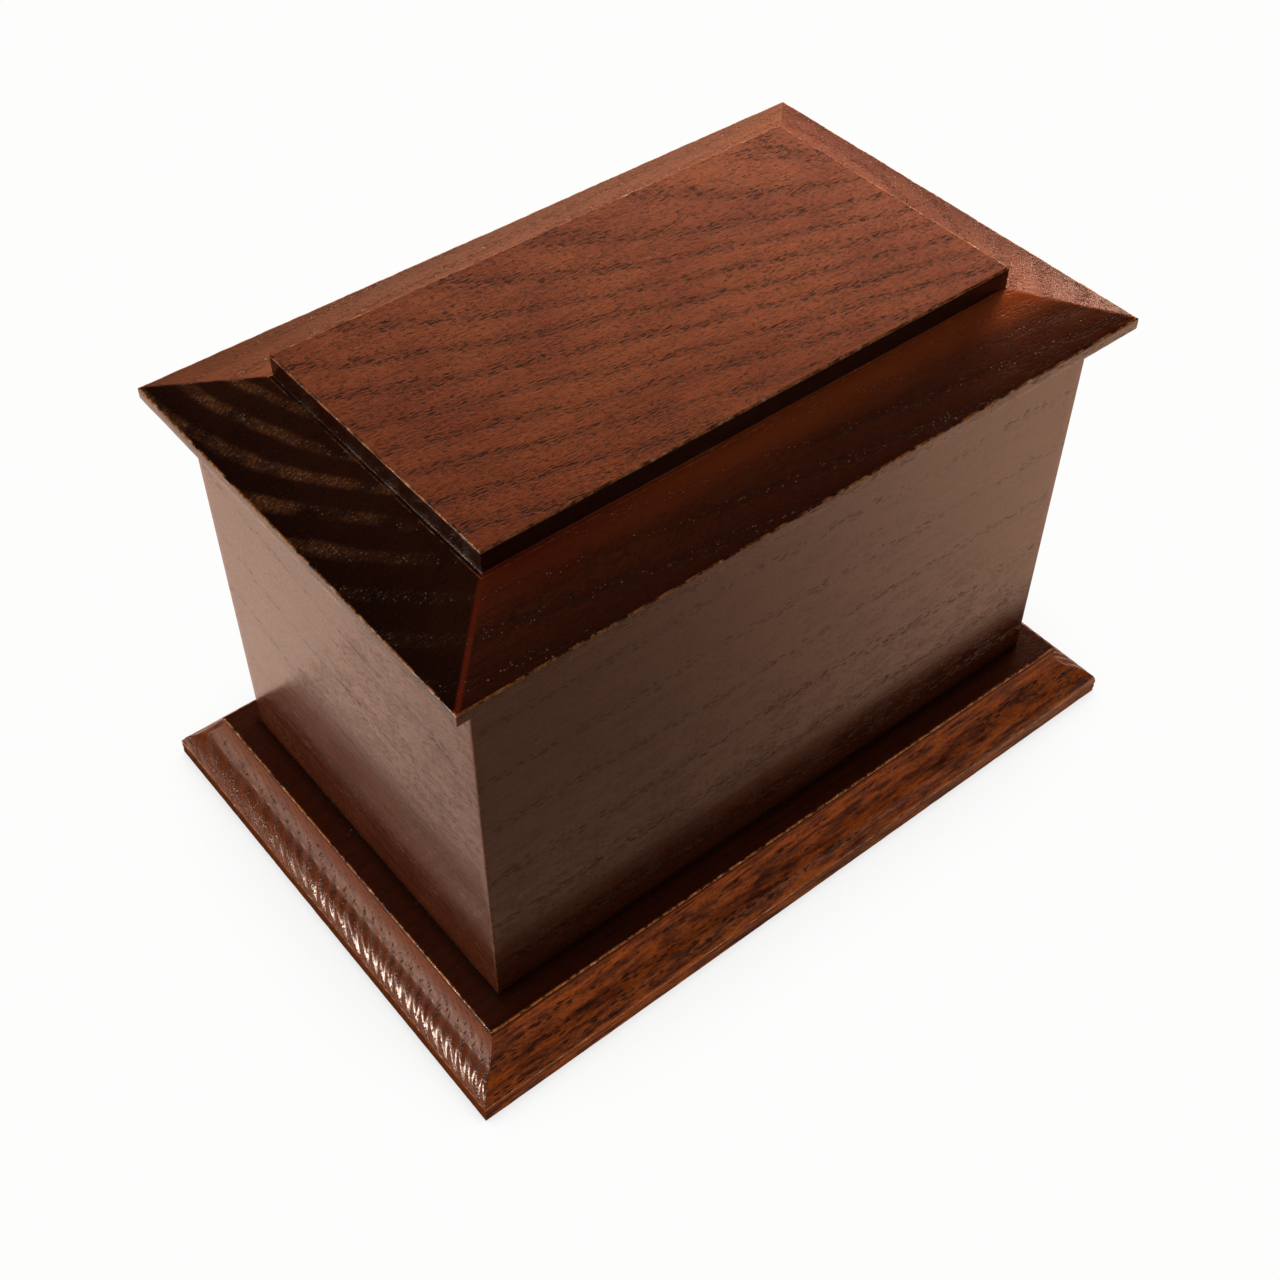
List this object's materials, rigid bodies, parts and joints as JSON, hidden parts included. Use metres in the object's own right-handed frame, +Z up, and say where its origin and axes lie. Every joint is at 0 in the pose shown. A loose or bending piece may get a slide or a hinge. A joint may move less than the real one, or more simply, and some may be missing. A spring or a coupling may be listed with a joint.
{
  "type": "wooden cremation ashes casket",
  "caption": "Rectangular lidded box of stained wood for cremation ashes, with mitred walls on a moulded base and a raised-field lid that lifts off; it stands on its underside.",
  "frame": {"origin": "on the floor, under the middle of the base board", "axes": "+X along the casket's length, -Y towards its front long side, +Z up"},
  "size_m": [0.3, 0.201, 0.199],
  "materials": {
    "base_wood": "mahogany stain under gloss lacquer, open grain, worn arrises",
    "wall_wood": "mahogany stain under satin lacquer, fine horizontal grain",
    "lid_wood": "mahogany stain under gloss lacquer, open grain, worn arrises"
  },
  "bodies": {
    "root": {"base": "base_wood", "front_wall": "wall_wood", "back_wall": "wall_wood", "left_wall": "wall_wood", "right_wall": "wall_wood", "lid": "lid_wood"}
  },
  "joints": []
}
